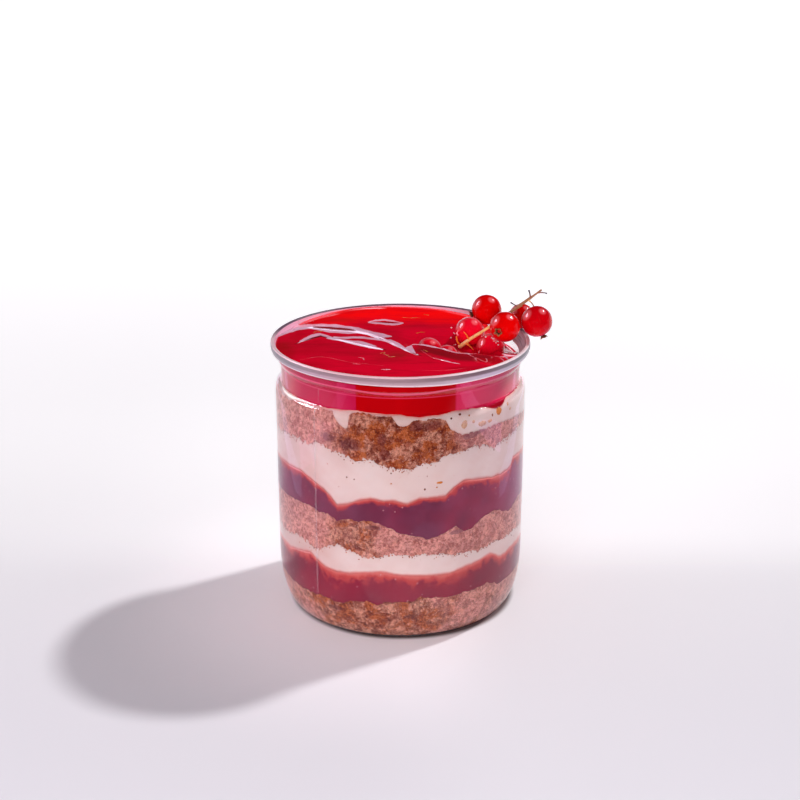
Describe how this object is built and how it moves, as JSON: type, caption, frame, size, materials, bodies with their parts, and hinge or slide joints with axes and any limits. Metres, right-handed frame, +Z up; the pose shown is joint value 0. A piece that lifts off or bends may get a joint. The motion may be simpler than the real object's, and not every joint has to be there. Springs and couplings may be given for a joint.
{
  "type": "cheesecake cup",
  "caption": "Layered cheesecake in a clear round jar with a metal rim: crumb, jam and cream layers under red jelly, with a sprig of red currants leaning over the rim.",
  "frame": {"origin": "centre of the jar's flat base, where it stands", "axes": "+Z up the jar's axis to the rim, -Y the side that the picture shows, +X the side that the sprig leans over"},
  "size_m": [0.0824, 0.0762, 0.0951],
  "materials": {
    "clear_plastic": "gloss",
    "rim_metal": "satin",
    "crumb": "matte",
    "cream": "satin",
    "jam": "gloss",
    "jelly": "gloss",
    "berry_skin": "gloss",
    "stem_bark": "matte"
  },
  "bodies": {
    "root": {"jar": "clear_plastic", "rim_ring": "rim_metal", "crumb_base": "crumb", "jam_lower": "jam", "cream_lower": "cream", "crumb_middle": "crumb", "jam_upper": "jam", "cream_upper": "cream", "crumb_top": "crumb", "cream_cap": "cream", "jelly": "jelly", "berry_high": "berry_skin", "berry_front": "berry_skin", "berry_overhang": "berry_skin", "berry_left": "berry_skin", "berry_behind": "berry_skin", "berry_glazed": "berry_skin", "berry_sunk_back": "berry_skin", "berry_sunk_front": "berry_skin", "stem": "stem_bark"}
  },
  "joints": []
}
